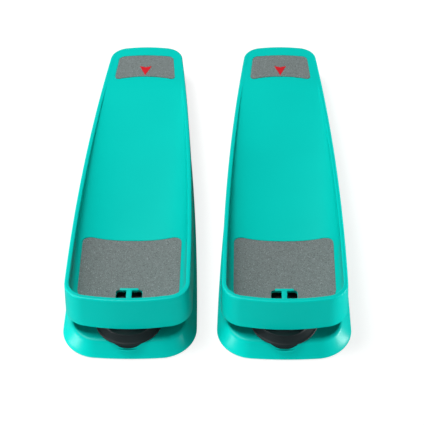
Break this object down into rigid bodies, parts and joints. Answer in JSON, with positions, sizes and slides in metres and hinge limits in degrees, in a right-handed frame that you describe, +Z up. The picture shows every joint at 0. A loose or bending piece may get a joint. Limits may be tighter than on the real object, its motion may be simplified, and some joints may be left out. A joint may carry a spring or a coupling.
{
  "type": "foot pedals",
  "caption": "Two long foot trays, each hinged at the heel on a low flared base, with a rubber cone under the toe, grip sheets and a band cleat.",
  "frame": {"origin": "on the floor, under the middle of the pair's bounding box", "axes": "+X across the two pedals, +Y from the toes to the heels, +Z up"},
  "size_m": [0.2664, 0.402, 0.0599],
  "materials": {
    "teal_plastic": "smooth satin injection-moulded plastic, turquoise",
    "dark_plastic": "fine moulded texture, charcoal",
    "bush_plastic": "plain turned bearing plastic, off-white",
    "grit_sheet": "grey mineral-grit grip sheet, rough and matt",
    "rubber": "smooth satin moulded rubber, black",
    "red_print": "flat red film",
    "steel": "bright zinc-plated steel"
  },
  "bodies": {
    "bases": {"left_base_shell": "teal_plastic", "left_toe_left_foot": "rubber", "left_toe_right_foot": "rubber", "left_heel_left_foot": "rubber", "left_heel_right_foot": "rubber", "left_spring_cone": "rubber", "left_spring_screw": "steel", "left_spring_washer": "steel", "left_hinge_pin": "steel", "left_pin_clip_1": "steel", "left_pin_clip_2": "steel", "right_base_shell": "teal_plastic", "right_toe_left_foot": "rubber", "right_toe_right_foot": "rubber", "right_heel_left_foot": "rubber", "right_heel_right_foot": "rubber", "right_spring_cone": "rubber", "right_spring_screw": "steel", "right_spring_washer": "steel", "right_hinge_pin": "steel", "right_pin_clip_1": "steel", "right_pin_clip_2": "steel"},
    "left_tray": {"left_foot_tray": "teal_plastic", "left_tray_cover": "dark_plastic", "left_cover_screw_1": "steel", "left_cover_screw_2": "steel", "left_cover_screw_3": "steel", "left_cover_screw_4": "steel", "left_toe_grip": "grit_sheet", "left_heel_grip": "grit_sheet", "left_toe_arrow": "red_print", "left_hinge_bush_1": "bush_plastic", "left_hinge_bush_2": "bush_plastic"},
    "right_tray": {"right_foot_tray": "teal_plastic", "right_tray_cover": "dark_plastic", "right_cover_screw_1": "steel", "right_cover_screw_2": "steel", "right_cover_screw_3": "steel", "right_cover_screw_4": "steel", "right_toe_grip": "grit_sheet", "right_heel_grip": "grit_sheet", "right_toe_arrow": "red_print", "right_hinge_bush_1": "bush_plastic", "right_hinge_bush_2": "bush_plastic"}
  },
  "joints": [
    {"name": "left_tray_tilt", "type": "hinge", "parent": "bases", "child": "left_tray", "pos_m": [-0.07125, 0.17535, 0.019], "axis": [1, 0, 0], "range_deg": [0, 1], "stiffness_Nm_per_rad": 400, "springref_deg": -0.57, "deforming": ["left_spring_cone"]},
    {"name": "right_tray_tilt", "type": "hinge", "parent": "bases", "child": "right_tray", "pos_m": [0.07125, 0.17535, 0.019], "axis": [1, 0, 0], "range_deg": [0, 1], "stiffness_Nm_per_rad": 400, "springref_deg": -0.57, "deforming": ["right_spring_cone"]}
  ]
}
